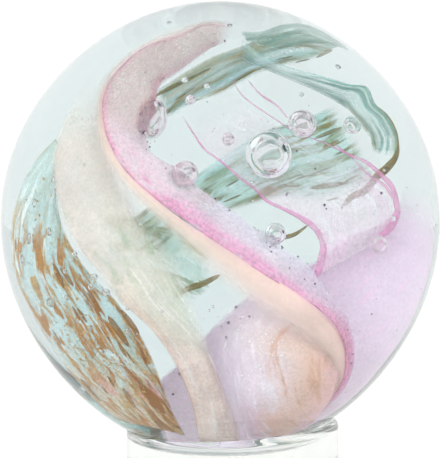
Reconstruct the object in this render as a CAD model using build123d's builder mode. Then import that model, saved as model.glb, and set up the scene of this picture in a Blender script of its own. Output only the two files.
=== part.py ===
from build123d import *
from math import cos, pi, sin
import os

# Glass paperweight: a solid ball with air bubbles sealed inside it, resting in a dished glass puck.
# Millimetres. The ball's axis is Z and the puck's underside is Z = 0.

# the ball
ballRadius = 40.0      # half its width at the widest
ballOval = 0.0178      # how much taller than wide, as a share of the radius
ballPear = -0.0135     # fuller below the middle than above it
ballSquare = 0.0130    # flatter on the slopes than a true ball
groundAway = 1.77      # taken off the bottom to make the flat it rests on
outlineSteps = 16      # points of the outline, from the top to the bottom

# air bubbles: across, back and up from the ball's middle, then the radius
bubbles = [
    (6.4, -6.0, 10.1, 3.1),
    (-5.1, -17.0, 9.6, 1.9),
    (7.7, -14.0, 0.7, 1.5),
    (10.8, -4.0, 14.0, 1.9),
    (17.4, -2.0, 13.6, 1.25),
    (21.5, -6.0, -1.7, 1.25),
    (1.1, -12.0, 13.6, 0.9),
    (-4.1, -8.0, 18.5, 0.7),
]

# the one drawn-out bubble
longBubblePlace = (-9.6, -10.0, 16.5)
longBubbleRadius = 2.1
longBubbleReach = 3.1  # half its height

# the puck
standRadius = 19.4
standHeight = 14.0
standShift = 2.25      # how far the puck's axis stands from the ball's
seatDepth = 4.4        # from the puck's top down to the floor of its dish
seatClearance = 0.15   # between the ball and the dish's wall
rimRound = 1.4         # rounding of the top edge
footRound = 0.5        # rounding of the bottom edge


def ballReach(angle):
    # from the ball's middle to its skin, with the angle measured down from the top
    c = cos(angle)
    oval = (3 * c**2 - 1) / 2
    pear = (5 * c**3 - 3 * c) / 2
    square = (35 * c**4 - 30 * c**2 + 3) / 8
    return ballRadius * (1 + ballOval * oval + ballPear * pear + ballSquare * square)


seatFloor = standHeight - seatDepth
ballMiddle = seatFloor + ballReach(pi) - groundAway


def outlinePoint(step, gap):
    angle = pi * step / outlineSteps
    reach = ballReach(angle) + gap
    return (reach * sin(angle), ballMiddle + reach * cos(angle))


def ballBody(gap):
    # the whole ball, larger all over by the gap, with its ground flat
    with BuildPart() as body:
        with BuildSketch(Plane.XZ):
            with BuildLine():
                skin = Spline(
                    [outlinePoint(step, gap) for step in range(outlineSteps + 1)],
                    tangents=[(1, 0), (-1, 0)],
                )
                Line(skin @ 1, skin @ 0)
            make_face()
        revolve(axis=Axis.Z)
        split(bisect_by=Plane.XY.offset(seatFloor), keep=Keep.TOP)
    return body.part


os.makedirs("parts", exist_ok=True)

with BuildPart() as glassBall:
    add(ballBody(0))
    for across, back, up, radius in bubbles:
        with Locations((across, back, ballMiddle + up)):
            Sphere(radius, mode=Mode.SUBTRACT)
    across, back, up = longBubblePlace
    bubblePlane = Plane((across, back, ballMiddle + up), x_dir=(1, 0, 0), z_dir=(0, -1, 0))
    with BuildSketch(bubblePlane):
        with BuildLine():
            side = EllipticalCenterArc(
                (0, 0), longBubbleRadius, longBubbleReach, start_angle=-90, arc_size=180
            )
            Line(side @ 1, side @ 0)
        make_face()
    revolve(axis=Axis(bubblePlane.origin, (0, 0, 1)), mode=Mode.SUBTRACT)

with BuildPart() as glassStand:
    with BuildSketch(Plane.XY):
        with Locations((standShift, 0)):
            Circle(standRadius)
    extrude(amount=standHeight)
    fillet(glassStand.faces().sort_by(Axis.Z)[-1].edges(), radius=rimRound)
    fillet(glassStand.faces().sort_by(Axis.Z)[0].edges(), radius=footRound)
    add(ballBody(seatClearance), mode=Mode.SUBTRACT)

glassBall.part.label = "glass_ball"
export_step(glassBall.part, "parts/glass_ball.step")

glassStand.part.label = "glass_stand"
export_step(glassStand.part, "parts/glass_stand.step")
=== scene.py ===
import bmesh
import bpy
from math import cos, pi, radians, sin, sqrt, tau
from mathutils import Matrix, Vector, noise


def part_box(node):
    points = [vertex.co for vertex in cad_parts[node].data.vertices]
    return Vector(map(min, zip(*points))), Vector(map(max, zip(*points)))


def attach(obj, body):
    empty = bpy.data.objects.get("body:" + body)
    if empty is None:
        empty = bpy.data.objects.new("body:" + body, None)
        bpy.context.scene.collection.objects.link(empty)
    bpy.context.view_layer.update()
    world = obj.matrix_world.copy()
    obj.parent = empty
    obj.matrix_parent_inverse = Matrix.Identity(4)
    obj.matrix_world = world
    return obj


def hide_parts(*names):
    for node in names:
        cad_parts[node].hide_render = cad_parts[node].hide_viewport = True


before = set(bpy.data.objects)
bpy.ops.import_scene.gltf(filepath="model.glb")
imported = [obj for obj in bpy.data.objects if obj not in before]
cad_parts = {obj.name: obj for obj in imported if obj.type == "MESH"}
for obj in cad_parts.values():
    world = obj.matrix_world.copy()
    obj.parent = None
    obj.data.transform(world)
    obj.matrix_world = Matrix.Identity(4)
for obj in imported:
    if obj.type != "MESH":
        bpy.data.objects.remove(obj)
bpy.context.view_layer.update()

mm = 0.001
noise.seed_set(1)      # the sway of the veils would otherwise change with the clock
white = (1, 1, 1, 1)

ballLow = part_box("glass_ball")[0]
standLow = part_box("glass_stand")[0]

# the blown shape, as in the solid model: a sphere with three small departures from round
ballSetup = {
    "radius": 40.0 * mm,
    "oval": 0.0178,
    "pear": -0.0135,
    "square": 0.0130,
    "groundAway": 1.77 * mm,
    "seatGap": 0.03 * mm,      # keeps the ground flat off the dish floor, so the two faces don't coincide
    "rings": 120,
    "segments": 180,
    "bubbleSteps": 24,         # rings on each air bubble
}


def ballReach(angle):      # middle to skin, angle from the top
    c = cos(angle)
    s = ballSetup
    oval = (3 * c**2 - 1) / 2
    pear = (5 * c**3 - 3 * c) / 2
    square = (35 * c**4 - 30 * c**2 + 3) / 8
    return s["radius"] * (1 + s["oval"] * oval + s["pear"] * pear + s["square"] * square)


ballMiddle = Vector((0, 0, ballLow.z + ballReach(pi) - ballSetup["groundAway"] + ballSetup["seatGap"]))


def linear(hexColour):      # sRGB hex to the linear values that shaders use
    parts = [int(hexColour[i:i + 2], 16) / 255 for i in (1, 3, 5)]
    return [p / 12.92 if p <= 0.04045 else ((p + 0.055) / 1.055) ** 2.4 for p in parts] + [1.0]


def addNode(tree, kind, inputs=None, stops=None, **settings):
    # inputs: a socket's name or number, with a value or another node's output; settings: the node's own
    node = tree.nodes.new(kind)
    for name, value in settings.items():
        setattr(node, name, value)
    for index, (place, colour) in enumerate(stops or []):
        elements = node.color_ramp.elements
        element = elements[index] if index < 2 else elements.new(place)
        element.position = place
        element.color = colour
    for name, value in (inputs or {}).items():
        if isinstance(value, bpy.types.NodeSocket):
            tree.links.new(value, node.inputs[name])
        else:
            node.inputs[name].default_value = value
    return node


def newMaterial(name):
    material = bpy.data.materials.new(name)
    material.use_nodes = True
    material.node_tree.nodes.clear()
    return material, material.node_tree


def newObject(name, verts, faces, material, smooth=True, edges=()):
    mesh = bpy.data.meshes.new(name)
    mesh.from_pydata([tuple(v) for v in verts], edges, faces)
    if material:
        mesh.materials.append(material)
    mesh.polygons.foreach_set("use_smooth", [smooth] * len(mesh.polygons))
    mesh.update()
    thing = bpy.data.objects.new(name, mesh)
    bpy.context.scene.collection.objects.link(thing)
    return thing


def handIn(piece):
    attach(piece, "root")


cameraSetup = {
    "distance": 600 * mm,
    "elevation": radians(7),
    "lens": 259.5,
    "sensor": 36,
    "nearest": 0.05,           # metres, as is the next
    "furthest": 20,
    "across": -0.06 * mm,      # aim, from the ball's middle
    "up": -0.68 * mm,
}


def placeCamera():
    s = cameraSetup
    back = Vector((0, -cos(s["elevation"]), sin(s["elevation"])))
    up = Vector((0, sin(s["elevation"]), cos(s["elevation"])))
    camera = bpy.data.objects.new("camera", bpy.data.cameras.new("camera"))
    camera.data.lens = s["lens"]
    camera.data.sensor_width = s["sensor"]
    camera.data.clip_start = s["nearest"]
    camera.data.clip_end = s["furthest"]
    camera.location = ballMiddle + back * s["distance"] + up * s["up"] + Vector((s["across"], 0, 0))
    camera.rotation_euler = (pi / 2 - s["elevation"], 0, 0)
    bpy.context.scene.collection.objects.link(camera)
    bpy.context.scene.camera = camera


studio = {
    "lamps": 1.0,              # level of the even light all round
    "throughGlass": 3.6,       # its level once it has come in through the ball, which traps much of it
    # what the glass shows of the room, from its front to its back
    "roomLevels": [(0.0, 0.92), (0.25, 0.86), (0.5, 0.72), (0.68, 0.80), (0.82, 0.93), (0.93, 1.0)],
    # each panel's reach along +X, its reach up, and its level: a black flag, then a bright window
    "panels": [((0.76, 0.97), (0.0, 0.46), 0.03), ((-0.95, -0.55), (0.05, 0.6), 1.5)],
    "panelDepth": 3.5,         # they show only in bubbles, past this many glass faces
}


def lightStudio():
    world = bpy.data.worlds.new("studio")
    bpy.context.scene.world = world
    world.use_nodes = True
    tree = world.node_tree
    tree.nodes.clear()
    where = addNode(tree, "ShaderNodeTexCoord").outputs["Generated"]
    axes = addNode(tree, "ShaderNodeSeparateXYZ", {"Vector": where}).outputs
    depth = addNode(tree, "ShaderNodeMapRange", {"Value": axes["Y"], "From Min": -1.0, "From Max": 1.0})
    levels = [(place, (level, level, level, 1)) for place, level in studio["roomLevels"]]
    room = addNode(tree, "ShaderNodeValToRGB", {"Fac": depth.outputs["Result"]}, stops=levels)
    path = addNode(tree, "ShaderNodeLightPath").outputs
    scattered = addNode(tree, "ShaderNodeMapRange",
                        {"Value": path["Diffuse Depth"], "To Min": 1.0, "To Max": studio["throughGlass"]})
    level = scattered.outputs["Result"]
    deep = addNode(tree, "ShaderNodeMath", {0: path["Ray Depth"], 1: studio["panelDepth"]},
                   operation="GREATER_THAN")
    for across, up, strength in studio["panels"]:
        mask = deep.outputs[0]
        for axis, (low, high) in (("X", across), ("Z", up)):      # only inside both reaches
            middle, half = (low + high) / 2, (high - low) / 2
            inside = addNode(tree, "ShaderNodeMath", {0: axes[axis], 1: middle, 2: half}, operation="COMPARE")
            both = addNode(tree, "ShaderNodeMath", {0: mask, 1: inside.outputs[0]}, operation="MULTIPLY")
            mask = both.outputs[0]
        lit = addNode(tree, "ShaderNodeMapRange", {"Value": mask, "To Min": 1.0, "To Max": strength})
        panelled = addNode(tree, "ShaderNodeMath", {0: level, 1: lit.outputs["Result"]}, operation="MULTIPLY")
        level = panelled.outputs[0]
    glass = addNode(tree, "ShaderNodeBackground", {"Color": room.outputs["Color"], "Strength": level})
    plain = addNode(tree, "ShaderNodeBackground", {"Color": white, "Strength": 1.0})
    lamps = addNode(tree, "ShaderNodeBackground", {"Color": white, "Strength": studio["lamps"]})
    seen = addNode(tree, "ShaderNodeMath", {0: path["Is Glossy Ray"], 1: path["Is Transmission Ray"]},
                   operation="MAXIMUM")
    first = addNode(tree, "ShaderNodeMixShader",
                    {0: seen.outputs[0], 1: lamps.outputs[0], 2: glass.outputs[0]})
    last = addNode(tree, "ShaderNodeMixShader",
                   {0: path["Is Camera Ray"], 1: first.outputs[0], 2: plain.outputs[0]})
    addNode(tree, "ShaderNodeOutputWorld", {"Surface": last.outputs[0]})


floorSetup = {
    "colour": "#e9e9e7",
    "roughness": 0.9,
    "glow": 0.22,              # lifts the card towards white where the camera or the glass sees it
    "half": 3.0,               # half its side, in metres
    "below": 0.05 * mm,        # under the puck's foot
}


def layFloor():
    # matt white card: even and pale, with no gloss of its own
    s = floorSetup
    material, tree = newMaterial("matt_white_card")
    path = addNode(tree, "ShaderNodeLightPath").outputs
    seen = addNode(tree, "ShaderNodeMath", {0: path["Is Glossy Ray"], 1: path["Is Transmission Ray"]},
                   operation="MAXIMUM")
    shown = addNode(tree, "ShaderNodeMath", {0: seen.outputs[0], 1: path["Is Camera Ray"]},
                    operation="MAXIMUM")
    glow = addNode(tree, "ShaderNodeMath", {0: shown.outputs[0], 1: s["glow"]}, operation="MULTIPLY")
    card = addNode(tree, "ShaderNodeBsdfPrincipled",
                   {"Base Color": linear(s["colour"]), "Roughness": s["roughness"], "Emission Color": white,
                    "Emission Strength": glow.outputs[0]})
    addNode(tree, "ShaderNodeOutputMaterial", {"Surface": card.outputs[0]})
    half, z = s["half"], standLow.z - s["below"]
    corners = [(-half, -half, z), (half, -half, z), (half, half, z), (-half, half, z)]
    newObject("floor", corners, [(0, 1, 2, 3)], material, smooth=False)


def solidGlass(name, colour, tint, density):
    # polished glass all through: the tint shows only over its full depth
    material, tree = newMaterial(name)
    glass = addNode(tree, "ShaderNodeBsdfPrincipled",
                    {"Base Color": colour, "Roughness": 0.0, "IOR": 1.5, "Transmission Weight": 1.0})
    depth = addNode(tree, "ShaderNodeVolumeAbsorption", {"Color": tint, "Density": density})
    addNode(tree, "ShaderNodeOutputMaterial", {"Surface": glass.outputs[0], "Volume": depth.outputs[0]})
    return material


def lathe(outline, segments):
    # outline: (radius, height) from the top of the axis to the bottom of the axis
    verts = [(0, 0, outline[0][1])]
    for radius, height in outline[1:-1]:
        verts += [(radius * cos(tau * k / segments), radius * sin(tau * k / segments), height)
                  for k in range(segments)]
    verts.append((0, 0, outline[-1][1]))
    last = len(verts) - 1
    faces = [(0, 1 + k, 1 + (k + 1) % segments) for k in range(segments)]
    for ring in range(len(outline) - 3):
        a, b = 1 + ring * segments, 1 + (ring + 1) * segments
        faces += [(a + k, b + k, b + (k + 1) % segments, a + (k + 1) % segments) for k in range(segments)]
    a = last - segments
    faces += [(a + k, last, a + (k + 1) % segments) for k in range(segments)]
    return verts, faces


def ballOutline():
    s = ballSetup
    flat = ballLow.z + s["seatGap"]
    outline = []
    for ring in range(s["rings"] + 1):
        angle = pi * ring / s["rings"]
        reach = ballReach(angle)
        radius, height = reach * sin(angle), ballMiddle.z + reach * cos(angle)
        if height <= flat:      # the ground flat starts on the line between this point and the last
            share = (outline[-1][1] - flat) / (outline[-1][1] - height)
            outline.append((outline[-1][0] + share * (radius - outline[-1][0]), flat))
            break
        outline.append((radius, height))
    outline[0] = (0, outline[0][1])
    return outline + [(0, flat)]


def cavities():
    # the air bubbles of the solid model, as (middle, half width, half height), from its mesh's inner shells
    work = bmesh.new()
    work.from_mesh(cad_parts["glass_ball"].data)
    bmesh.ops.remove_doubles(work, verts=work.verts, dist=1e-6)
    found, left = [], set(work.verts)
    while left:
        shell, edge = set(), [left.pop()]
        while edge:
            vert = edge.pop()
            shell.add(vert)
            for link in vert.link_edges:
                other = link.other_vert(vert)
                if other in left:
                    left.discard(other)
                    edge.append(other)
        low = Vector([min(v.co[i] for v in shell) for i in range(3)])
        high = Vector([max(v.co[i] for v in shell) for i in range(3)])
        found.append(((low + high) / 2, (high.x - low.x) / 2, (high.z - low.z) / 2))
    work.free()
    found.sort(key=lambda f: -f[1])
    return sorted(found[1:], key=lambda f: (f[0].x, f[0].y, f[0].z))      # the first is the ball's own skin


def bubbleShell(middle, across, tall, steps):      # a closed round shell, facing outwards
    outline = [(across * sin(pi * k / steps), middle.z + tall * cos(pi * k / steps))
               for k in range(steps + 1)]
    ring, skin = lathe(outline, 2 * steps)
    return [(x + middle.x, y + middle.y, z) for x, y, z in ring], skin


def makeBall(material):
    verts, faces = lathe(ballOutline(), ballSetup["segments"])
    for middle, across, tall in bubbles:
        ring, skin = bubbleShell(middle, across, tall, ballSetup["bubbleSteps"])
        start = len(verts)
        verts += ring
        faces += [tuple(start + i for i in reversed(face)) for face in skin]      # glass lies outside it
    ball = newObject("clear_ball", verts, faces, material)
    for face in ball.data.polygons:      # the ground flat is flat right up to its edge
        if face.center.z < ballLow.z + ballSetup["seatGap"] + 1e-6:
            face.use_smooth = False
    handIn(ball)
    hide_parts("glass_ball")
    return ball


def keepInside(point, margin):      # pulls a point back to the margin under the ball's skin
    arm = point - ballMiddle
    reach = ballReach(arm.angle(Vector((0, 0, 1)), 0)) - margin
    if arm.length > reach:
        point = ballMiddle + arm * (reach / arm.length)
    point.z = max(point.z, ballLow.z + margin)
    return point


def clearOfBubbles(points, gap):
    # the glass closes round an air bubble, so a casing that meets one passes behind it
    for middle, across, tall in bubbles:
        radius = across + gap
        flat = [Vector((p.x - middle.x, (p.z - middle.z) * across / tall)).length for p in points]
        for point, away in zip(points, flat):
            if away < radius and abs(point.y - middle.y) < 3 * radius:
                point.y = max(point.y, middle.y + sqrt(radius**2 - away**2))
    return points


def smoothRoute(points, count, steps=12):
    # a Catmull-Rom line through the given points, in metres from the ball's middle, evenly spaced
    raw = [Vector(p) * mm for p in points]
    raw = [2 * raw[0] - raw[1]] + raw + [2 * raw[-1] - raw[-2]]
    fine = []
    for a, b, c, d in zip(raw, raw[1:], raw[2:], raw[3:]):
        for k in range(steps):
            t = k / steps
            fine.append(0.5 * (2 * b + (c - a) * t + (2 * a - 5 * b + 4 * c - d) * t**2
                               + (3 * b - a - 3 * c + d) * t**3))
    fine.append(raw[-2])
    run = [0.0]
    for a, b in zip(fine, fine[1:]):
        run.append(run[-1] + (b - a).length)
    line, at = [], 0
    for k in range(count):
        target = run[-1] * k / (count - 1)
        while at < len(run) - 2 and run[at + 1] < target:
            at += 1
        share = (target - run[at]) / max(run[at + 1] - run[at], 1e-9)
        line.append(fine[at].lerp(fine[at + 1], min(max(share, 0), 1)))
    return line


def acrossWeights(shares, u):      # a smooth line across two or three rails, as Lagrange weights
    weights = []
    for i, a in enumerate(shares):
        weight = 1.0
        for j, b in enumerate(shares):
            if i != j:
                weight *= (u - b) / (a - b)
        weights.append(weight)
    return weights


noiseLow, noiseHigh = 0.25, 0.75      # a noise texture keeps mostly between these

# what every veil starts from; its own dictionary changes some of it
plainVeil = {
    "shares": (0, 1),          # where its rails lie across it
    "bow": 0.0,                # mm that its middle bellies towards the front
    "thick": 0.25,             # mm
    "margin": 1.6,             # mm of clear glass kept over it
    "gap": 0.25,               # mm from an air bubble
    "sway": 0.35,              # mm that it wanders from its rails
    "swaysPerMetre": 90,
    "veins": [],               # drawn-out streaks: size in mm across and along, noise levels, colour, alpha
    "wander": 0.06,            # share of the width that its colours drift sideways
    "drift": (6, 14),          # mm across and along of that drift
    "twist": 0.4,              # distortion of its streaks
    "shift": 0,                # moves its streaks, so that no two veils match
    "cloud": 7,                # mm between thick and thin places
    "uneven": 0.25,            # and how much they differ
    "grit": 0.45,              # mm, the fine speckle in it
    "speckle": 0.2,            # and how much that shows
    "edges": (0.08, 0.08),     # shares of the width over which it melts away at its sides
    "ends": (0.05, 0.05),      # and of its length, at its ends
}


def veilGrid(look, size):
    # points of a casing laid between its rails, with its place across and along it
    look = {**plainVeil, **look}
    along, across = size
    lines = [smoothRoute(rail, along + 1) for rail in look["rails"]]
    middle = sum((line[along // 2] for line in lines), Vector()) / len(lines)
    grid = []
    for i in range(along + 1):
        for j in range(across + 1):
            u = j / across
            weights = acrossWeights(look["shares"], u)
            point = sum((line[i] * w for line, w in zip(lines, weights)), Vector())
            point += Vector((0, -1, 0)) * (4 * u * (1 - u) * look["bow"] * mm)
            sway = noise.noise_vector((point + middle) * look["swaysPerMetre"]) * look["sway"] * mm
            grid.append(keepInside(point + sway + ballMiddle, look["margin"] * mm))
    return clearOfBubbles(grid, look["gap"] * mm)


def veil(name, look, material):
    along, across = look["grid"]
    grid = veilGrid(look, look["grid"])
    row = across + 1
    faces = [(i * row + j, i * row + j + 1, (i + 1) * row + j + 1, (i + 1) * row + j)
             for i in range(along) for j in range(across)]
    piece = newObject(name, grid, faces, material)
    share = piece.data.uv_layers.new(name="share")      # 0 to 1 across and along
    flow = piece.data.uv_layers.new(name="flow")        # metres across and along
    run = [0.0]
    half = across // 2
    for i in range(along):
        run.append(run[-1] + (grid[(i + 1) * row + half] - grid[i * row + half]).length)
    width = [sum((grid[i * row + j + 1] - grid[i * row + j]).length for j in range(across))
             for i in range(along + 1)]
    for loop in piece.data.loops:
        i, j = divmod(loop.vertex_index, row)
        share.data[loop.index].uv = (j / across, i / along)
        flow.data[loop.index].uv = (j / across * width[i], run[i])
    wall = piece.modifiers.new("wall", "SOLIDIFY")
    wall.thickness = {**plainVeil, **look}["thick"] * mm
    wall.offset = 0
    handIn(piece)
    return piece


def casingGlass(name, look):
    # thin cased colour: glass colour across the veil, drawn-out streaks along it, and edges that melt away
    look = {**plainVeil, **look}
    material, tree = newMaterial(name)
    share = addNode(tree, "ShaderNodeUVMap", uv_map="share").outputs["UV"]
    flow = addNode(tree, "ShaderNodeUVMap", uv_map="flow").outputs["UV"]
    place = addNode(tree, "ShaderNodeTexCoord").outputs["Object"]
    axes = addNode(tree, "ShaderNodeSeparateXYZ", {"Vector": share})
    across, along = axes.outputs["X"], axes.outputs["Y"]

    def layOver(turn, under, over):      # colour and density together, under at 0 and over at 1
        colour = addNode(tree, "ShaderNodeMix", {0: turn, 6: under[0], 7: over[0]}, data_type="RGBA")
        density = addNode(tree, "ShaderNodeMix", {0: turn, 2: under[1], 3: over[1]}, data_type="FLOAT")
        return colour.outputs[2], density.outputs[0]

    def window(value, limits):      # 0 to 1 between the first two limits, and back between the last two
        rise, fall = [addNode(tree, "ShaderNodeMapRange", {"Value": value, "From Min": low, "From Max": high},
                              interpolation_type="SMOOTHSTEP").outputs["Result"]
                      for low, high in (limits[:2], limits[2:])]
        both = addNode(tree, "ShaderNodeMath", {0: rise, 1: fall}, operation="SUBTRACT", use_clamp=True)
        return both.outputs[0]

    def streaks(size, shift):      # noise drawn out along the flow, sizes in mm
        cells = addNode(tree, "ShaderNodeMapping",
                        {"Vector": flow, "Scale": (1 / (size[0] * mm), 1 / (size[1] * mm), 1),
                         "Location": (shift, shift, shift)})
        grain = addNode(tree, "ShaderNodeTexNoise",
                        {"Vector": cells.outputs[0], "Scale": 1.0, "Detail": 5.0, "Roughness": 0.6,
                         "Distortion": look["twist"]})
        return grain.outputs["Fac"]

    def cloud(size, amount):      # uneven thickness: 1 plus or minus the amount
        level = addNode(tree, "ShaderNodeTexNoise",
                        {"Vector": place, "Scale": 1 / (size * mm), "Detail": 3.0})
        spread = addNode(tree, "ShaderNodeMapRange",
                         {"Value": level.outputs["Fac"], "From Min": noiseLow, "From Max": noiseHigh,
                          "To Min": 1 - amount, "To Max": 1 + amount})
        return spread.outputs["Result"]

    drift = addNode(tree, "ShaderNodeMapRange",
                    {"Value": streaks(look["drift"], 7.3), "From Min": noiseLow, "From Max": noiseHigh,
                     "To Min": -look["wander"], "To Max": look["wander"]})
    drifted = addNode(tree, "ShaderNodeMath", {0: across, 1: drift.outputs["Result"]}, operation="ADD")
    cased = None
    for start, finish, band in look["bands"]:
        stops = [(at, linear(shade)[:3] + [alpha]) for at, shade, alpha in band]
        ramp = addNode(tree, "ShaderNodeValToRGB", {"Fac": drifted.outputs[0]}, stops=stops).outputs
        if cased is None:
            cased = ramp["Color"], ramp["Alpha"]
        else:
            turn = addNode(tree, "ShaderNodeMapRange",
                           {"Value": along, "From Min": start, "From Max": finish},
                           interpolation_type="SMOOTHSTEP").outputs["Result"]
            cased = layOver(turn, cased, (ramp["Color"], ramp["Alpha"]))
    for index, vein in enumerate(look["veins"]):
        low, high = vein["from"]
        grain = streaks(vein["size"], 3.1 * index + look["shift"])
        strength = addNode(tree, "ShaderNodeMapRange", {"Value": grain, "From Min": low, "From Max": high},
                           interpolation_type="SMOOTHSTEP").outputs["Result"]
        for value, key in ((along, "along"), (across, "across")):
            if key in vein:
                kept = addNode(tree, "ShaderNodeMath", {0: strength, 1: window(value, vein[key])},
                               operation="MULTIPLY")
                strength = kept.outputs[0]
        cased = layOver(strength, cased, (linear(vein["colour"]), vein["alpha"]))
    colour, density = cased
    thins = [cloud(look["cloud"], look["uneven"]), cloud(look["grit"], look["speckle"])]
    for value, (start, finish) in ((across, look["edges"]), (along, look["ends"])):
        low, high = (0.0 if start else -1.0), (1.0 if finish else 2.0)      # no width: off the veil
        thins.append(window(value, (low, start, 1 - finish, high)))
    for thin in thins:
        density = addNode(tree, "ShaderNodeMath", {0: density, 1: thin}, operation="MULTIPLY").outputs[0]
    glass = addNode(tree, "ShaderNodeBsdfPrincipled",
                    {"Base Color": colour, "Alpha": density, "Roughness": 0.5, "Specular IOR Level": 0.1})
    addNode(tree, "ShaderNodeOutputMaterial", {"Surface": glass.outputs[0]})
    return material


def rodGlass(name, shade, alpha, patch=2.5, uneven=0.25, metallic=0.0, roughness=0.5):
    # a pulled rod or chip of coloured glass, melted in: even colour, thicker and thinner in patches
    material, tree = newMaterial(name)
    place = addNode(tree, "ShaderNodeTexCoord").outputs["Object"]
    level = addNode(tree, "ShaderNodeTexNoise", {"Vector": place, "Scale": 1 / (patch * mm), "Detail": 3.0})
    density = addNode(tree, "ShaderNodeMapRange",
                      {"Value": level.outputs["Fac"], "From Min": noiseLow, "From Max": noiseHigh,
                       "To Min": alpha * (1 - uneven), "To Max": min(alpha * (1 + uneven), 1)})
    glass = addNode(tree, "ShaderNodeBsdfPrincipled",
                    {"Base Color": linear(shade), "Alpha": density.outputs["Result"], "Roughness": roughness,
                     "Metallic": metallic, "Specular IOR Level": 0.2})
    addNode(tree, "ShaderNodeOutputMaterial", {"Surface": glass.outputs[0]})
    return material


def airInGlass():
    # a sealed air bubble seen from inside the glass: light bends outwards, so the index is 1 over the glass's
    material, tree = newMaterial("sealed_air_bubble")
    air = addNode(tree, "ShaderNodeBsdfGlass", {"Color": white, "Roughness": 0.0, "IOR": 1 / 1.5})
    addNode(tree, "ShaderNodeOutputMaterial", {"Surface": air.outputs[0]})
    return material


def nodeGroup(name, sizes):      # an empty Geometry Nodes tree with named number inputs
    tree = bpy.data.node_groups.new(name, "GeometryNodeTree")
    tree.interface.new_socket("Geometry", in_out="INPUT", socket_type="NodeSocketGeometry")
    tree.interface.new_socket("Geometry", in_out="OUTPUT", socket_type="NodeSocketGeometry")
    sockets = {}
    for label, value in sizes.items():
        kind = "NodeSocketInt" if isinstance(value, int) else "NodeSocketFloat"
        sockets[label] = tree.interface.new_socket(label, in_out="INPUT", socket_type=kind)
        sockets[label].default_value = value
    return tree, sockets


def growPiece(name, ground, tree, sockets, sizes):
    # runs the tree on the ground and keeps the result as a plain mesh
    growth = ground.modifiers.new("growth", "NODES")
    growth.node_group = tree
    for label, value in sizes.items():
        growth[sockets[label].identifier] = value
    evaluated = ground.evaluated_get(bpy.context.evaluated_depsgraph_get())
    mesh = bpy.data.meshes.new_from_object(evaluated)
    ground.modifiers.remove(growth)
    bpy.data.objects.remove(ground)
    mesh.name = name
    piece = bpy.data.objects.new(name, mesh)
    bpy.context.scene.collection.objects.link(piece)
    handIn(piece)
    return piece


threadSetup = {
    "sides": 10,
    "stepsPerPoint": 8,
    "margin": 1.5,             # mm of clear glass kept over a thread
    "gap": 0.4,                # mm from an air bubble
    "beat": 0.2,               # how unevenly it was pulled
    "beatsPerMetre": 400,
    "taper": 12,               # both ends draw down to a point over one part in this many
    "tip": 0.15,               # share of the radius left at the very end
}


def pulledThreads(name, routes, material):
    # threads of coloured glass drawn along routes of (points, radius at start, middle and end)
    s = threadSetup
    verts, edges, radii = [], [], []
    for points, *sizes in routes:
        line = [p + ballMiddle for p in smoothRoute(points, s["stepsPerPoint"] * len(points))]
        line = clearOfBubbles(line, s["gap"] * mm)
        start = len(verts)
        for k, point in enumerate(line):
            at = k / (len(line) - 1)
            low, high, share = (sizes[0], sizes[1], at * 2) if at < 0.5 else (sizes[1], sizes[2], at * 2 - 1)
            beat = 1 + s["beat"] * noise.noise(point * s["beatsPerMetre"])
            drawn = min(1, s["taper"] * at + s["tip"], s["taper"] * (1 - at) + s["tip"])
            radii.append((low + (high - low) * share) * mm * beat * drawn)
            verts.append(keepInside(point, s["margin"] * mm))
        edges += [(start + k, start + k + 1) for k in range(len(line) - 1)]
    ground = newObject(name + "_routes", verts, [], None, edges=edges)
    thick = ground.data.attributes.new("thickness", "FLOAT", "POINT")
    thick.data.foreach_set("value", radii)
    sizes = {"Sides": s["sides"], "Fullness": 1.0}
    tree, sockets = nodeGroup(name, sizes)
    given = addNode(tree, "NodeGroupInput").outputs
    stored = addNode(tree, "GeometryNodeInputNamedAttribute", {"Name": "thickness"}, data_type="FLOAT")
    full = addNode(tree, "ShaderNodeMath", {0: stored.outputs["Attribute"], 1: given["Fullness"]},
                   operation="MULTIPLY")
    lines = addNode(tree, "GeometryNodeMeshToCurve", {"Mesh": given["Geometry"]})
    ring = addNode(tree, "GeometryNodeCurvePrimitiveCircle", {"Resolution": given["Sides"], "Radius": 1.0})
    tube = addNode(tree, "GeometryNodeCurveToMesh",
                   {"Curve": lines.outputs[0], "Profile Curve": ring.outputs[0], "Scale": full.outputs[0],
                    "Fill Caps": True})
    whole = addNode(tree, "GeometryNodeRealizeInstances", {"Geometry": tube.outputs[0]})
    coated = addNode(tree, "GeometryNodeSetMaterial", {"Geometry": whole.outputs[0], "Material": material})
    addNode(tree, "NodeGroupOutput", {"Geometry": coated.outputs[0]})
    piece = growPiece(name, ground, tree, sockets, sizes)
    piece.data.polygons.foreach_set("use_smooth", [True] * len(piece.data.polygons))
    return piece


# what every scatter starts from; its own dictionary changes some of it
plainScatter = {
    "shape": "seed",           # seed or flake
    "fine": 1,                 # subdivisions of a seed
    "stretch": 1.0,            # length over width, along the flow
    "flat": 1.0,               # thickness over width
    "depth": 0.6,              # mm either side of the veil
    "forward": 0.0,            # mm that the whole scatter stands in front of it
    "turn": 0.0,               # radians that a piece may be turned
    "margin": 2.6,             # mm of clear glass kept over the scatter's middle
    "ground": (40, 12),        # faces along and across the veil that it is strewn on
    "fewLarge": 2.5,           # power that makes many small ones and few large ones
}


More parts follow.
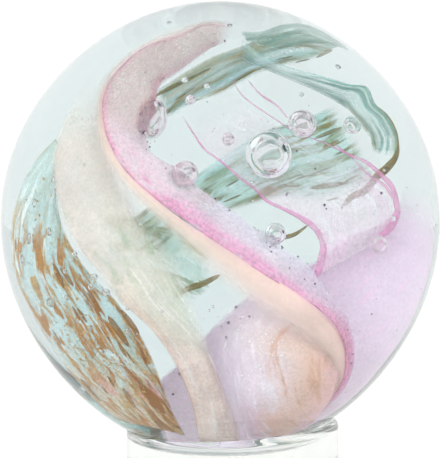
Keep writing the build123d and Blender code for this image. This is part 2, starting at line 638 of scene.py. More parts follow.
def scatter(name, veilLook, look, material, where):
    # bubbles, specks, flakes or drawn-out slivers strewn through a veil, lying along its flow
    look = {**plainScatter, **look}
    along, across = look["ground"]
    grid = veilGrid(veilLook, look["ground"])
    row = across + 1
    faces, flows, weights = [], [], []
    for i in range(along + 1):
        for j in range(row):
            ahead, behind = grid[min(i + 1, along) * row + j], grid[max(i - 1, 0) * row + j]
            flows += list((ahead - behind).normalized())
            weights.append(where(j / across, i / along))
            if i < along and j < across:
                corner = i * row + j
                faces.append((corner, corner + 1, corner + row + 1, corner + row))
    forward = Vector((0, -look["forward"] * mm, 0))
    grid = [keepInside(p + forward, look["margin"] * mm) for p in grid]
    ground = newObject(name + "_ground", grid, faces, None)
    ground.data.attributes.new("flow", "FLOAT_VECTOR", "POINT").data.foreach_set("vector", flows)
    ground.data.attributes.new("weight", "FLOAT", "POINT").data.foreach_set("value", weights)
    sizes = {"Per square cm": look["density"], "Smallest": look["small"] * mm, "Largest": look["large"] * mm,
             "Stretch": look["stretch"], "Flatness": look["flat"], "Depth": look["depth"] * mm,
             "Turn": look["turn"], "Seed": look["seed"]}
    tree, sockets = nodeGroup(name, sizes)
    given = addNode(tree, "NodeGroupInput").outputs

    weight = addNode(tree, "GeometryNodeInputNamedAttribute", {"Name": "weight"}, data_type="FLOAT")
    full = addNode(tree, "ShaderNodeMath", {0: given["Per square cm"], 1: 10000.0}, operation="MULTIPLY")
    perMetre = addNode(tree, "ShaderNodeMath", {0: full.outputs[0], 1: weight.outputs["Attribute"]},
                       operation="MULTIPLY")
    dots = addNode(tree, "GeometryNodeDistributePointsOnFaces",
                   {"Mesh": given["Geometry"], "Density": perMetre.outputs[0], "Seed": given["Seed"]}).outputs

    flow = addNode(tree, "GeometryNodeInputNamedAttribute", {"Name": "flow"}, data_type="FLOAT_VECTOR")
    pointed = addNode(tree, "FunctionNodeAlignRotationToVector", {"Vector": flow.outputs["Attribute"]},
                      axis="Z")
    laid = addNode(tree, "FunctionNodeAlignRotationToVector",
                   {"Rotation": pointed.outputs[0], "Vector": dots["Normal"]}, axis="X", pivot_axis="Z")
    swing = addNode(tree, "FunctionNodeRandomValue", {0: (-1, -1, -1), 1: (1, 1, 1), "Seed": given["Seed"]},
                    data_type="FLOAT_VECTOR")
    turn = addNode(tree, "ShaderNodeVectorMath", {0: swing.outputs[0], "Scale": given["Turn"]},
                   operation="SCALE")
    turned = addNode(tree, "FunctionNodeRotateRotation", {0: laid.outputs[0], 1: turn.outputs[0]},
                     rotation_space="LOCAL")

    liftSeed = addNode(tree, "ShaderNodeMath", {0: given["Seed"], 1: 5}, operation="ADD")
    under = addNode(tree, "ShaderNodeMath", {0: given["Depth"], 1: -1.0}, operation="MULTIPLY")
    lift = addNode(tree, "FunctionNodeRandomValue",
                   {2: under.outputs[0], 3: given["Depth"], "Seed": liftSeed.outputs[0]}, data_type="FLOAT")
    offset = addNode(tree, "ShaderNodeVectorMath", {0: dots["Normal"], "Scale": lift.outputs[1]},
                     operation="SCALE")
    lifted = addNode(tree, "GeometryNodeSetPosition", {"Geometry": dots[0], "Offset": offset.outputs[0]})

    sizeSeed = addNode(tree, "ShaderNodeMath", {0: given["Seed"], 1: 9}, operation="ADD")
    chance = addNode(tree, "FunctionNodeRandomValue", {"Seed": sizeSeed.outputs[0]}, data_type="FLOAT")
    few = addNode(tree, "ShaderNodeMath", {0: chance.outputs[1], 1: look["fewLarge"]}, operation="POWER")
    spread = addNode(tree, "ShaderNodeMath", {0: given["Largest"], 1: given["Smallest"]},
                     operation="SUBTRACT")
    more = addNode(tree, "ShaderNodeMath", {0: few.outputs[0], 1: spread.outputs[0]}, operation="MULTIPLY")
    girth = addNode(tree, "ShaderNodeMath", {0: given["Smallest"], 1: more.outputs[0]}, operation="ADD")
    thin = addNode(tree, "ShaderNodeMath", {0: girth.outputs[0], 1: given["Flatness"]}, operation="MULTIPLY")
    long = addNode(tree, "ShaderNodeMath", {0: girth.outputs[0], 1: given["Stretch"]}, operation="MULTIPLY")
    size = addNode(tree, "ShaderNodeCombineXYZ",
                   {"X": thin.outputs[0], "Y": girth.outputs[0], "Z": long.outputs[0]})

    if look["shape"] == "flake":
        shape = addNode(tree, "GeometryNodeMeshCylinder", {"Vertices": 6, "Radius": 1.0, "Depth": 2.0})
    else:
        shape = addNode(tree, "GeometryNodeMeshIcoSphere", {"Radius": 1.0, "Subdivisions": look["fine"]})
    strewn = addNode(tree, "GeometryNodeInstanceOnPoints",
                     {"Points": lifted.outputs[0], "Instance": shape.outputs["Mesh"],
                      "Rotation": turned.outputs[0], "Scale": size.outputs[0]})
    whole = addNode(tree, "GeometryNodeRealizeInstances", {"Geometry": strewn.outputs[0]})
    coated = addNode(tree, "GeometryNodeSetMaterial", {"Geometry": whole.outputs[0], "Material": material})
    addNode(tree, "NodeGroupOutput", {"Geometry": coated.outputs[0]})
    piece = growPiece(name, ground, tree, sockets, sizes)
    piece.data.polygons.foreach_set("use_smooth", [look["shape"] != "flake"] * len(piece.data.polygons))
    for attribute in [a for a in piece.data.attributes if a.name in ("flow", "weight")]:
        piece.data.attributes.remove(attribute)
    print(name, len(piece.data.polygons), "faces")
    return piece


skinOver = 0.8      # mm of clear glass kept over a small bubble


def roundBubbles(name, places, material, steps=10):
    # small round or drawn-up shells in one mesh: across, back, up, radius and height over width, in mm
    verts, faces = [], []
    for x, y, z, radius, stretch in places:
        middle = keepInside(Vector((x, y, z)) * mm + ballMiddle, (radius * stretch + skinOver) * mm)
        ring, skin = bubbleShell(middle, radius * mm, radius * stretch * mm, steps)
        start = len(verts)
        verts += ring
        faces += [tuple(start + i for i in face) for face in skin]
    piece = newObject(name, verts, faces, material)
    handIn(piece)
    return piece


placeCamera()
lightStudio()
layFloor()
bubbles = cavities()

# soda-lime glass, fire-polished: colourless in the hand, faintly sea-green through its full width
clearGlass = solidGlass("clear_soda_lime_glass", white, (0.24, 0.53, 0.56, 1), 5.8)
ball = makeBall(clearGlass)
print("ball", len(ball.data.vertices), "points,", len(bubbles), "bubbles")

# pressed glass puck, polished: a touch greyer than the ball
standGlass = solidGlass("pressed_glass", linear("#fbfcf9"), linear("#e3e6df"), 1.0)
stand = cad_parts["glass_stand"]
stand.data.materials.clear()
stand.data.materials.append(standGlass)

# From here on each veil has its rails, in mm from the ball's middle as across, back and up, and then its
# dictionary. A band is (starts, full at, stops), as shares of the length; a stop is (across, colour, alpha).
# A vein's along and across hold it to a stretch: it comes in over the first two and goes over the last two.

peachEdge = [(3.5, -2, 30.5), (-3, -4, 32.5), (-9, -8, 32.5), (-14, -12, 31.5), (-18, -14, 29),
             (-20.5, -16, 25.5), (-20.7, -17, 21), (-20, -19, 14.5), (-17, -21, 8.5), (-11.8, -22, 2.8),
             (-5.5, -22, -2.8), (0, -21, -7), (5.5, -20.5, -11.5), (11, -19.5, -15), (15, -17, -18),
             (16.5, -14.5, -21), (15.5, -11.5, -25.5), (11.5, -8, -29)]
roseLine = [(2, -2, 29), (-2.5, -4, 31), (-6.5, -8, 30.5), (-12, -12, 31), (-16, -14, 28),
            (-18.5, -16, 24), (-18.5, -17, 19.5), (-17, -19, 15), (-14, -21, 10.5), (-9, -22, 6),
            (-2, -22, 1), (4, -21, -3), (9.5, -20, -6.5), (15, -19, -10.5), (18, -16, -14.5),
            (19, -14, -19), (18, -11, -24.5), (13, -8, -29.5)]
# peach opal over clear: nearly opaque, hard against the rose line, soft on its outer edge
peachRibbon = {
    "rails": [peachEdge, roseLine],
    "grid": (150, 12),
    "bands": [
        (0, 0, [(0.0, "#e0d6d2", 0.2), (0.6, "#e0cfc9", 0.4), (1.0, "#e0bfc4", 0.6)]),
        (0.22, 0.34, [(0.0, "#ded6ca", 0.05), (0.45, "#ebdad0", 0.25), (0.8, "#eed6ca", 0.8),
                      (1.0, "#e8c4c4", 0.9)]),
        (0.55, 0.7, [(0.0, "#e0d6cc", 0.3), (0.45, "#efd6cc", 0.75), (0.9, "#f0d0c6", 0.95),
                     (1.0, "#eabfc4", 0.95)]),
        (0.85, 0.97, [(0.0, "#e8d6ca", 0.8), (0.5, "#ecccbe", 0.9), (1.0, "#e8b8c6", 0.95)]),
    ],
    "edges": (0.75, 0.0),
    "ends": (0.04, 0.05),
    "wander": 0.1,
    "uneven": 0.12,
    "speckle": 0.06,
}
veil("peach_ribbon", peachRibbon, casingGlass("peach_opal_casing", peachRibbon))

blushEdge = [(1, 0, 25), (-1, -1, 24.5), (-3.5, -4, 23.5), (-6, -7, 22.5), (-8.5, -9, 21), (-9, -11, 19),
             (-8, -12, 16.5), (-10, -15, 12.5), (-6.5, -17, 10.5), (-2, -18, 7), (3.5, -18, 3.5),
             (8.5, -17, -0.5), (12.5, -16, -3), (16.5, -15, -8.5), (19, -13, -13), (20, -12, -18.5),
             (19, -10, -24), (14.5, -8, -30)]
# gold-ruby rose: dense at its line, thinning to pale lilac with a speckle through it
roseRibbon = {
    "rails": [roseLine, blushEdge],
    "grid": (150, 20),
    "bow": 1.0,
    "bands": [
        (0, 0, [(0.0, "#dcaab8", 0.6), (0.1, "#dcbcb8", 0.4), (0.6, "#dcc0bc", 0.4),
                (0.9, "#e0b0bc", 0.6), (1.0, "#e0b0bc", 0.6)]),
        (0.24, 0.34, [(0.0, "#e3a0bc", 0.8), (0.12, "#ecd2da", 0.6), (0.6, "#e8ccd8", 0.5),
                      (1.0, "#dcc6d4", 0.45)]),
        (0.4, 0.5, [(0.0, "#dd98ba", 0.9), (0.28, "#e2aeca", 0.8), (0.5, "#dcc6d4", 0.5),
                    (1.0, "#d2cadc", 0.4)]),
        (0.66, 0.84, [(0.0, "#e4a6be", 0.95), (0.5, "#dc92b4", 0.95), (1.0, "#e2aecb", 0.85)]),
    ],
    "veins": [
        {"size": (0.6, 4), "from": (0.5, 0.62), "colour": "#dc96bd", "alpha": 0.75,
         "along": (0.3, 0.4, 2, 3), "across": (-2, -1, 0.3, 0.6)},
        {"size": (0.7, 3), "from": (0.56, 0.66), "colour": "#efe0e8", "alpha": 0.5,
         "along": (0.2, 0.3, 2, 3)},
    ],
    "edges": (0.0, 0.12),
    "ends": (0.03, 0.05),
    "speckle": 0.4,
    "uneven": 0.3,
}
veil("rose_ribbon", roseRibbon, casingGlass("gold_ruby_rose_casing", roseRibbon))

creamLeft = [(-19.5, -8, 28.5), (-23.5, -11, 22), (-26, -13, 16), (-26.5, -14, 11), (-25, -15, 5),
             (-23, -17, 0), (-19, -18, -4.5), (-15.5, -19, -9), (-11, -19, -12.5), (-8, -18, -16.5),
             (-6, -17, -20.5), (-4.5, -14, -25.5), (-4, -11, -31), (-3.5, -9, -35)]
creamRight = [(-13, -9, 26.5), (-15, -12, 20.5), (-15, -14, 15), (-14, -16, 10.5), (-11.5, -17, 5.5),
              (-7.5, -18, 1), (-4.5, -19, -4), (-3, -20, -8.5), (-2, -20, -12.5), (-1, -19, -17),
              (0.5, -17, -21.5), (2.2, -14, -26.5), (3.5, -11, -31.5), (4, -9, -35)]
# cream opal, cloudy, with a browner line along each border where it draws into a stem
creamRibbon = {
    "rails": [creamLeft, creamRight],
    "grid": (120, 20),
    "bow": 2.0,
    "bands": [
        (0, 0, [(0.0, "#d2d4ca", 0.1), (0.6, "#d8d6cc", 0.35), (1.0, "#dcd4ca", 0.25)]),
        (0.05, 0.25, [(0.0, "#e0d4ca", 0.45), (0.35, "#e4dcd4", 0.6), (0.75, "#e2dace", 0.45),
                      (1.0, "#e8d8ce", 0.3)]),
        (0.42, 0.62, [(0.0, "#e8ccbc", 0.8), (0.3, "#dcd4c6", 0.7), (0.7, "#d4d4c6", 0.6),
                      (1.0, "#d4d8cc", 0.4)]),
        (0.62, 0.76, [(0.0, "#cdab9c", 0.95), (0.18, "#e6d2ca", 0.8), (0.75, "#e4cfc8", 0.8),
                      (0.9, "#d0b0a2", 0.95), (1.0, "#c9a596", 0.95)]),
    ],
    "veins": [
        {"size": (0.7, 12), "from": (0.52, 0.66), "colour": "#efe6e2", "alpha": 0.8,
         "along": (0.4, 0.6, 2, 3)},
        {"size": (2.5, 7), "from": (0.5, 0.66), "colour": "#bcc4ae", "alpha": 0.6,
         "along": (0.3, 0.45, 0.5, 0.64)},
    ],
    "edges": (0.1, 0.3),
    "ends": (0.2, 0.02),
    "wander": 0.03,
    "uneven": 0.4,
    "cloud": 5,
}
veil("cream_ribbon", creamRibbon, casingGlass("cream_opal_casing", creamRibbon))

lilacTop = [(-7.5, -2, -19.5), (-5, -2, -17), (-2, -3, -13), (2, -4, -9), (6, -4, -6), (10, -5, -4.5),
            (12.5, -5, -3.5), (16, -4, -0.5), (19, -3, 0.5), (22, -2, 2), (23.5, -2, 4), (24.5, -2, 6.5)]
lilacFoot = [(-8, -4, -33), (-3, -4, -34), (1.5, -4, -33), (5.5, -5, -33), (11, -6, -32.5), (17, -6, -30),
             (21.5, -6, -26.5), (25.5, -6, -21.5), (29, -5, -16), (31.5, -4, -10), (32.5, -3, -3),
             (31.5, -2, 3.5)]
# lilac casing: one smooth, even sheet behind everything else
lilacSheet = {
    "rails": [lilacTop, lilacFoot],
    "grid": (90, 60),
    "bow": -4.0,
    "bands": [
        (0, 0, [(0.0, "#f0e0f0", 0.75), (0.3, "#f2e2f2", 0.8), (1.0, "#ecdcea", 0.8)]),
        (0.35, 0.6, [(0.0, "#f2d8ee", 0.7), (0.4, "#f2dcf0", 0.8), (1.0, "#f0dcee", 0.8)]),
    ],
    "veins": [
        {"size": (1.2, 5), "from": (0.52, 0.7), "colour": "#f4d4ec", "alpha": 0.85},
    ],
    "edges": (0.04, 0.03),
    "ends": (0.02, 0.22),
    "uneven": 0.15,
    "speckle": 0.12,
}
veil("lilac_sheet", lilacSheet, casingGlass("lilac_casing", lilacSheet))

bulbLeft = [(0, -17, -4), (-1, -17, -8), (-2, -17, -13), (-2, -17, -18), (-0.5, -16, -23),
            (1, -13, -27.5), (2.5, -10, -32)]
bulbMiddle = [(7, -18, -7), (7, -18.5, -11), (7, -19.5, -15.5), (7.5, -19, -20), (7.5, -17.5, -24.5),
              (7.5, -15, -29), (7.5, -11, -33.5)]
bulbRight = [(13, -16, -10), (16, -15, -14), (18, -13.5, -18.5), (18.5, -12.5, -22.5),
             (17.5, -10.5, -26.5), (15.5, -9, -30.5), (12, -8, -33)]
# the folded end of the ribbon: white-pink in its middle, amber where the casing is doubled
roseBulb = {
    "rails": [bulbLeft, bulbMiddle, bulbRight],
    "grid": (70, 40),
    "shares": (0, 0.5, 1),
    "bands": [
        (0, 0, [(0.0, "#e4dce4", 0.2), (0.3, "#ecdce0", 0.6), (0.6, "#f0d6cc", 0.9),
                (1.0, "#eecabc", 0.9)]),
        (0.25, 0.45, [(0.0, "#e0d6e2", 0.3), (0.3, "#f2e2ee", 0.75), (0.55, "#f0dce0", 0.95),
                      (0.8, "#e6c2b2", 0.95), (1.0, "#eec0c6", 0.95)]),
        (0.6, 0.85, [(0.0, "#e0d2dc", 0.4), (0.3, "#e8cad8", 0.8), (0.55, "#deb8ac", 0.95),
                     (0.8, "#e8c4b8", 0.9), (1.0, "#ecc2d2", 0.9)]),
    ],
    "veins": [
        {"size": (1.6, 7), "from": (0.52, 0.66), "colour": "#f6ecf4", "alpha": 0.85,
         "across": (-2, -1, 0.5, 0.7)},
        {"size": (2.0, 8), "from": (0.52, 0.66), "colour": "#dcae96", "alpha": 0.9,
         "across": (0.4, 0.6, 2, 3)},
    ],
    "edges": (0.4, 0.04),
    "ends": (0.35, 0.01),
    "uneven": 0.15,
    "speckle": 0.15,
}
veil("rose_bulb", roseBulb, casingGlass("folded_rose_casing", roseBulb))

copperOuter = [(-23, -4, 12.5), (-26.5, -3, 9), (-28.5, -2, 5), (-30, -2, 0.5), (-30, -2, -6),
               (-27.5, -3, -11.5), (-24.5, -4, -17.5), (-20.5, -5, -24), (-17.5, -6, -29),
               (-14.5, -6, -30.5)]
copperInner = [(-23.5, -8, 12.5), (-23.5, -9, 7), (-22.5, -10, 1.5), (-20, -11, -3), (-17.5, -11, -6),
               (-14.5, -12, -9), (-11.5, -12, -13), (-9.5, -11, -17), (-8, -10, -21.5), (-6.5, -9, -26.5),
               (-5, -8, -32)]
# aventurine dragged through teal: rust and amber streaks on a watery blue-green
copperBand = {
    "rails": [copperOuter, copperInner],
    "grid": (110, 40),
    "bow": 2.5,
    "bands": [
        (0, 0, [(0.0, "#8a8448", 0.9), (0.08, "#b4ccc6", 0.5), (1.0, "#a8bcae", 0.6)]),
        (0.12, 0.3, [(0.0, "#bcd6d4", 0.35), (0.5, "#b4d4d2", 0.5), (1.0, "#a8bcac", 0.6)]),
        (0.6, 0.85, [(0.0, "#d6c8b0", 0.75), (0.5, "#d6c6a8", 0.8), (1.0, "#bea27a", 0.9)]),
    ],
    "veins": [
        {"size": (2.2, 9), "from": (0.47, 0.56), "colour": "#bcdcde", "alpha": 0.45,
         "along": (0.0, 0.1, 0.7, 0.9)},
        {"size": (2.2, 7), "from": (0.5, 0.56), "colour": "#bc9c66", "alpha": 0.85,
         "along": (0.15, 0.3, 2, 3)},
        {"size": (1.7, 7), "from": (0.53, 0.58), "colour": "#b07c3c", "alpha": 0.95,
         "along": (0.2, 0.35, 2, 3)},
        {"size": (1.6, 9), "from": (0.5, 0.55), "colour": "#96622a", "alpha": 0.95,
         "across": (0.5, 0.75, 2, 3), "along": (0.35, 0.5, 2, 3)},
        {"size": (1.4, 7), "from": (0.54, 0.62), "colour": "#d8a49c", "alpha": 0.8,
         "along": (0.7, 0.85, 2, 3)},
        {"size": (0.8, 8), "from": (0.57, 0.63), "colour": "#dcecec", "alpha": 0.5,
         "along": (0.0, 0.1, 0.9, 1.0)},
    ],
    "edges": (0.03, 0.04),
    "ends": (0.0, 0.02),
    "wander": 0.05,
    "uneven": 0.2,
    "speckle": 0.3,
    "twist": 0.9,
}
veil("copper_band", copperBand, casingGlass("dragged_aventurine", copperBand))

print("ribbons and sheets laid")

upperTealTop = [(-8, 4, 16), (-4, 5, 18.5), (-1, 6, 20), (2.5, 6, 21.5), (6, 6, 23.5), (10.5, 4, 26),
                (17.5, 0, 27.5)]
upperTealFoot = [(-6.5, 6, 11.5), (-3, 8, 13), (0.5, 9, 14), (4, 10, 16), (7.5, 9, 17.5), (11.5, 6, 20),
                 (17, 1, 26.5)]
# teal casing with long olive streaks, and pale blue streaks between them that are painted highlights
upperTealBand = {
    "rails": [upperTealTop, upperTealFoot],
    "grid": (70, 16),
    "bands": [
        (0, 0, [(0.0, "#c0c8aa", 0.4), (0.3, "#b4ac78", 0.6), (0.6, "#cbe6e6", 0.3),
                (0.85, "#b8ccae", 0.5), (1.0, "#c4ded4", 0.35)]),
    ],
    "veins": [
        {"size": (0.9, 14), "from": (0.49, 0.57), "colour": "#9cbcae", "alpha": 0.65},
        {"size": (1.0, 10), "from": (0.53, 0.6), "colour": "#a08d50", "alpha": 0.8},
        # pale blue streaks: painted highlights
        {"size": (0.7, 16), "from": (0.52, 0.6), "colour": "#cdeaf0", "alpha": 0.5},
    ],
    "edges": (0.06, 0.15),
    "ends": (0.04, 0.02),
    "wander": 0.1,
    "uneven": 0.15,
}
veil("upper_teal_band", upperTealBand, casingGlass("teal_casing_with_olive", upperTealBand))

crestTop = [(2.5, 4, 25), (5.5, 3, 26), (9, 2, 29), (14, 0, 32), (18, -1, 31.5), (21.5, -2, 29.5)]
crestFoot = [(3, 5, 23), (5, 6, 21.5), (8, 5, 21.5), (11, 3, 23.5), (14.5, 1, 25.5), (20.5, -1, 28.5)]
# the same casing, thinner, where it folds over the top
tealCrest = {
    "rails": [crestTop, crestFoot],
    "grid": (60, 16),
    "bands": [
        (0, 0, [(0.0, "#92bcb0", 0.6), (0.5, "#bcd6cc", 0.4), (1.0, "#9cc0b2", 0.55)]),
    ],
    "veins": [
        {"size": (0.9, 10), "from": (0.49, 0.57), "colour": "#82b0a2", "alpha": 0.7},
        {"size": (0.6, 12), "from": (0.52, 0.6), "colour": "#dcf0ec", "alpha": 0.3},
    ],
    "edges": (0.08, 0.2),
    "ends": (0.03, 0.1),
    "uneven": 0.2,
    "shift": 11,
}
veil("teal_crest", tealCrest, casingGlass("teal_crest_casing", tealCrest))

sweepOuter = [(2.5, 4, 24), (5, 3, 22), (9, 2, 20.5), (13, 1, 20), (17.5, 0, 19.5), (21, -1, 20),
              (22, -2, 17.5), (24.5, -3, 16), (25.5, -3, 13), (24.5, -3, 10)]
sweepInner = [(2.5, 8, 18.5), (5.5, 8, 17.5), (8.5, 7, 16.5), (11.5, 6, 15.5), (14, 5, 14.5),
              (16, 4, 13.5), (17.5, 3, 12), (18.5, 3, 10.5), (19, 2, 9.5), (19, 2, 9)]
# clear lanes between dark teal borders
tealSweep = {
    "rails": [sweepOuter, sweepInner],
    "grid": (80, 20),
    "bow": 1.5,
    "bands": [
        (0, 0, [(0.0, "#7fb4aa", 0.7), (0.2, "#c2e0dc", 0.25), (0.7, "#b0d8d2", 0.35),
                (1.0, "#6aa398", 0.8)]),
        (0.5, 0.75, [(0.0, "#8c9a66", 0.8), (0.25, "#bfe0dc", 0.4), (0.6, "#cfe6e0", 0.35),
                     (1.0, "#8a8440", 0.9)]),
    ],
    "veins": [
        {"size": (0.9, 12), "from": (0.5, 0.57), "colour": "#6fa398", "alpha": 0.75},
        {"size": (0.8, 10), "from": (0.52, 0.6), "colour": "#d9eeec", "alpha": 0.25},
    ],
    "edges": (0.05, 0.06),
    "ends": (0.04, 0.05),
    "uneven": 0.15,
    "shift": 5,
}
veil("teal_sweep", tealSweep, casingGlass("teal_sweep_casing", tealSweep))

backTop = [(-11.5, 8, -1), (-8, 8, 1.5), (-4.5, 8, 3.5), (-1, 8, 6), (2, 8, 8), (5.5, 8, 10), (10, 7, 12),
           (14, 5, 14.5)]
backFoot = [(-7, 10, -6), (-3, 11, -3), (0, 12, -0.5), (3, 12, 0.5), (7, 11, 1.5), (10.5, 10, 1.5),
            (14.5, 8, 2.5), (19, 6, 4.5)]
# the widest, palest teal band
backTealBand = {
    "rails": [backTop, backFoot],
    "grid": (80, 24),
    "bands": [
        (0, 0, [(0.0, "#aed6d2", 0.6), (0.1, "#c4f0ea", 0.5), (0.6, "#ccf2ea", 0.45),
                (1.0, "#c8e8d4", 0.45)]),
    ],
    "veins": [
        {"size": (1.4, 10), "from": (0.49, 0.56), "colour": "#a4c4a4", "alpha": 0.6},
        {"size": (1.3, 7), "from": (0.56, 0.62), "colour": "#948d54", "alpha": 0.75},
        {"size": (0.6, 9), "from": (0.54, 0.59), "colour": "#7f8a58", "alpha": 0.7},
        {"size": (0.9, 12), "from": (0.52, 0.6), "colour": "#dcf6f6", "alpha": 0.5},
    ],
    "edges": (0.05, 0.15),
    "ends": (0.02, 0.12),
    "uneven": 0.2,
    "shift": 2,
}
veil("back_teal_band", backTealBand, casingGlass("pale_teal_casing", backTealBand))

washTop = [(-13.5, 8, 0.5), (-11, 9, 0.5), (-7.5, 9, -0.5), (-4, 9, -1.5), (-1, 8, -3.5)]
washFoot = [(-12, 9, -7), (-9.5, 10, -9), (-6.5, 10, -10), (-3.5, 10, -9.5), (-0.5, 9, -7.5)]
# the same teal, thinner, with olive smears
tealWash = {
    "rails": [washTop, washFoot],
    "grid": (50, 20),
    "bands": [
        (0, 0, [(0.0, "#c0d6c2", 0.3), (0.5, "#bce0d0", 0.35), (1.0, "#c4e0c8", 0.3)]),
    ],
    "veins": [
        {"size": (1.3, 6), "from": (0.49, 0.55), "colour": "#94a880", "alpha": 0.75},
        {"size": (0.8, 7), "from": (0.53, 0.6), "colour": "#d8f0f0", "alpha": 0.4},
    ],
    "edges": (0.08, 0.2),
    "ends": (0.1, 0.15),
    "uneven": 0.3,
    "shift": 8,
}
veil("teal_wash", tealWash, casingGlass("thin_teal_casing", tealWash))

roseThread = [(-5, -4, 15), (-3.5, -4, 12.5), (-2, -5, 10.5), (0, -5, 9), (2.5, -6, 7), (4.5, -6, 5.5),
              (6, -6, 4), (8.5, -7, 3), (10.5, -7, 2), (12.5, -7, 0.5), (13.5, -7, -1.5), (13.5, -8, -3),
              (13, -9, -5), (12, -10, -6.5)]
farThread = [(1.5, 0, 19), (2.5, 0, 17), (4, 0, 15.5), (6.5, -1, 14), (9.5, -1, 12), (13, -2, 11),
             (16.5, -2, 9.5), (19, -2, 8.5), (21, -2, 7), (23, -3, 5.5), (23.5, -3, 3.5), (23.5, -3, 2),
             (22, -3, 0), (20.5, -4, -1)]
# the faint smoke of pink and grey between the threads
duskVeil = {
    "rails": [roseThread, farThread],
    "grid": (90, 30),
    "bow": -1.0,
    "bands": [
        (0, 0, [(0.0, "#e4cad6", 0.22), (0.5, "#dccfd6", 0.14), (1.0, "#e0ccd6", 0.14)]),
        (0.5, 0.8, [(0.0, "#ecc8de", 0.35), (0.5, "#e4d6de", 0.4), (1.0, "#ecc8e0", 0.4)]),
    ],
    "veins": [
        {"size": (1.0, 8), "from": (0.54, 0.64), "colour": "#eee0ea", "alpha": 0.25},
    ],
    "edges": (0.02, 0.15),
    "ends": (0.2, 0.05),
    "uneven": 0.4,
    "speckle": 0.3,
}
veil("dusk_veil", duskVeil, casingGlass("smoky_pink_casing", duskVeil))

print("teal bands laid")

oliveHook = [(21, -2, 17.5), (23.5, -2, 16), (24.5, -2, 14), (24.5, -2, 12), (23.5, -1, 9.5),
             (21.5, 0, 7.5), (19.5, 1, 6), (17.5, 3, 4), (15.5, 4, 3), (14, 5, 1.5)]
lowTwig = [(-5.5, 6, -8.5), (-3.5, 6, -7.5), (-2, 6, -7), (0, 6, -6)]
midTwig = [(5.5, 6, -3), (7, 6, -2), (8.5, 6, -1.5), (10, 6, -0.5)]
# a pulled olive rod: a translucent brown-green line, broken where it thins
oliveRod = rodGlass("olive_glass_rod", "#8f7c3e", 0.7, patch=1.5, uneven=0.4)
oliveRoutes = [(oliveHook, 0.15, 0.5, 0.35), (lowTwig, 0.25, 0.4, 0.2), (midTwig, 0.1, 0.25, 0.1)]
pulledThreads("olive_threads", oliveRoutes, oliveRod)

sideThread = [(14.5, -2, 11), (17, -2, 9), (19, -2, 7), (21.5, -2, 5.5), (23, -3, 4)]
shortThread = [(3.5, 1, 18.5), (5, 1, 16.5), (7, 1, 15), (8.5, 0, 13.5)]
# a pulled gold-ruby rod: clear pink, deeper where it is thick
roseRod = rodGlass("gold_ruby_rod", "#e39cc6", 0.45, patch=1.5, uneven=0.5)
roseRoutes = [(roseThread, 0.1, 0.2, 0.6), (farThread, 0.08, 0.12, 0.7), (sideThread, 0.08, 0.1, 0.3),
              (shortThread, 0.08, 0.12, 0.08)]
pulledThreads("rose_threads", roseRoutes, roseRod)
print("threads pulled")

air = airInGlass()
# across, back, up, radius, and height over width
littleBubbles = [(-25.9, -14, 0.8, 0.5, 1.3), (-28.9, -10, -0.7, 0.55, 1.6), (-20.8, -12, -2.5, 0.45, 1),
                 (-17.9, -13, -5.6, 0.55, 1), (-18.5, -13, -7.1, 0.5, 1), (-16.1, -13, -7.8, 0.6, 1),
                 (-13, -13, -13.4, 0.5, 1), (-22.4, -12, -9, 0.45, 1), (-25, -10, -10.1, 0.75, 1),
                 (-21.5, -8, -12.8, 0.5, 1), (-13, -13, -9.9, 0.35, 1), (-27.5, -9, 4.5, 0.45, 1.5),
                 (-23, -14, -5, 0.4, 1), (-30, -8, -4, 0.5, 1.4), (10, -9, 15.4, 0.57, 1),
                 (-4.9, -6, 21, 0.45, 1), (-1.8, -6, 19.9, 0.45, 1), (1.5, -8, 33, 0.45, 1),
                 (-8.5, -8, 35, 0.4, 1), (24.5, -8, 2, 0.4, 1), (12, -12, 21, 0.4, 1),
                 (-26, -15, 9, 0.35, 1.5), (17.5, -5, 24.5, 0.5, 1)]
roundBubbles("little_bubbles", littleBubbles, air)

# a breath of rose on some of the larger bubbles
filmedBubbles = [(10.8, -4, 14, 2.02, 1), (-5.1, -17, 9.6, 2.02, 1), (1.1, -12, 13.6, 1.0, 1),
                 (-4.1, -8, 18.5, 0.8, 1), (-9.6, -10, 16.5, 2.25, 1.47), (21.5, -6, -1.7, 1.37, 1)]
roseFilm = rodGlass("rose_film", "#f0b8d2", 0.12, patch=1.5, uneven=0.6)
roundBubbles("rose_films", filmedBubbles, roseFilm, steps=24)

# chips of coloured glass melted in whole: dark violet grains, amber and olive slivers; and white points,
# which are painted highlights
violet = rodGlass("manganese_speck", "#5a3a66", 0.85)
# the white points: painted highlights, glints made as small white specks
paintedGlintSpecks = rodGlass("painted_highlight_speck", "#ffffff", 0.9)
rust = rodGlass("rust_aventurine_chip", "#a27438", 0.6)
olive = rodGlass("olive_chip", "#8d8650", 0.5)
# copper crystals in the glass, half metal to the eye: a warm glitter
fleck = rodGlass("copper_fleck", "#dcb47c", 1.0, metallic=0.5, roughness=0.4)


def farSide(across, along):      # only where the rose has thinned out
    return max(0.0, across - 0.35) * (1.0 if along > 0.28 else 0.5)


roseSpecks = {"density": 80.0, "small": 0.06, "large": 0.2, "depth": 0.4, "forward": 0.4, "turn": 3.0,
              "seed": 3}
scatter("rose_specks", roseRibbon, roseSpecks, violet, farSide)


def everywhere(across, along):
    return 1.0


duskSpecks = {"density": 10.0, "small": 0.06, "large": 0.22, "depth": 1.5, "turn": 3.0, "seed": 11}
scatter("dusk_specks", duskVeil, duskSpecks, violet, everywhere)


def speckCluster(across, along):      # thick by the lilac sheet's left foot, and a few all over
    return 0.08 + max(0.0, 1 - ((across - 0.2) / 0.2) ** 2 - ((along - 0.3) / 0.12) ** 2)


violetSpecks = {"density": 70.0, "small": 0.06, "large": 0.26, "depth": 1.0, "turn": 3.0, "seed": 5}
scatter("violet_specks", lilacSheet, violetSpecks, violet, speckCluster)


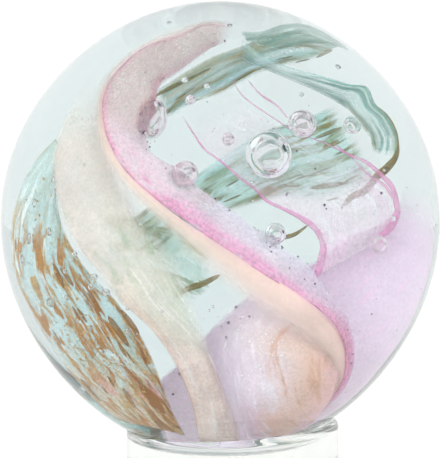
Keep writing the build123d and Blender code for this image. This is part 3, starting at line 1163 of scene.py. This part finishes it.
def bulbHeart(across, along):      # only in the bulb's bright middle
    return max(0.0, 1 - ((across - 0.45) / 0.25) ** 2 - ((along - 0.45) / 0.4) ** 2)


# white specks strewn over the bulb's middle: painted highlights standing in for its glints
bulbPaintedGlints = {"density": 90.0, "small": 0.06, "large": 0.22, "depth": 0.3, "forward": 0.5, "turn": 3.0,
               "seed": 7}
scatter("bulb_painted_glints", roseBulb, bulbPaintedGlints, paintedGlintSpecks, bulbHeart)


def rustRun(across, along):      # more towards the band's inner edge and its foot
    return (0.15 + max(0.0, across - 0.3)) * min(1.0, 3 * max(along - 0.15, 0))


rustSlivers = {"fine": 2, "density": 14.0, "small": 0.2, "large": 0.7, "stretch": 5.0, "flat": 0.4,
               "depth": 0.6, "forward": 0.5, "turn": 0.12, "seed": 2, "margin": 4.5}
scatter("rust_slivers", copperBand, rustSlivers, rust, rustRun)


def glitterPatch(across, along):      # one thick patch low on the band, and a few all over
    return max(0.0, 1 - ((across - 0.45) / 0.3) ** 2 - ((along - 0.68) / 0.17) ** 2) + 0.06


copperFlecks = {"shape": "flake", "density": 420.0, "small": 0.07, "large": 0.24, "flat": 0.25,
                "depth": 0.5, "forward": 0.8, "turn": 3.0, "seed": 4}
scatter("copper_flecks", copperBand, copperFlecks, fleck, glitterPatch)

upperOlives = {"fine": 2, "density": 10.0, "small": 0.12, "large": 0.4, "stretch": 12.0, "flat": 0.4,
               "depth": 0.5, "turn": 0.06, "seed": 6, "margin": 5.0}
scatter("upper_olive_slivers", upperTealBand, upperOlives, olive, everywhere)

backOlives = {"fine": 2, "density": 5.0, "small": 0.12, "large": 0.5, "stretch": 8.0, "flat": 0.4,
              "depth": 0.6, "turn": 0.1, "seed": 8, "margin": 4.0}
scatter("back_olive_slivers", backTealBand, backOlives, olive, everywhere)

# the fine seeds hang in a slab through the middle of the ball, not in a veil
seedSlab = {"rails": [[(-24, -16, 20), (-20, -18, 0), (-10, -18, -22)],
                      [(24, -8, 20), (26, -10, 0), (20, -10, -22)]]}
fineSeeds = {"fine": 2, "density": 4.0, "small": 0.08, "large": 0.26, "depth": 6.0, "seed": 9,
             "margin": 9.0}
scatter("fine_seeds", seedSlab, fineSeeds, air, everywhere)

scene = bpy.context.scene
scene.view_settings.view_transform = "Standard"
scene.cycles.max_bounces = 32      # the ball traps rays, and each veil and bubble takes some more
scene.cycles.glossy_bounces = 24
scene.cycles.transmission_bounces = 24
scene.cycles.transparent_max_bounces = 24
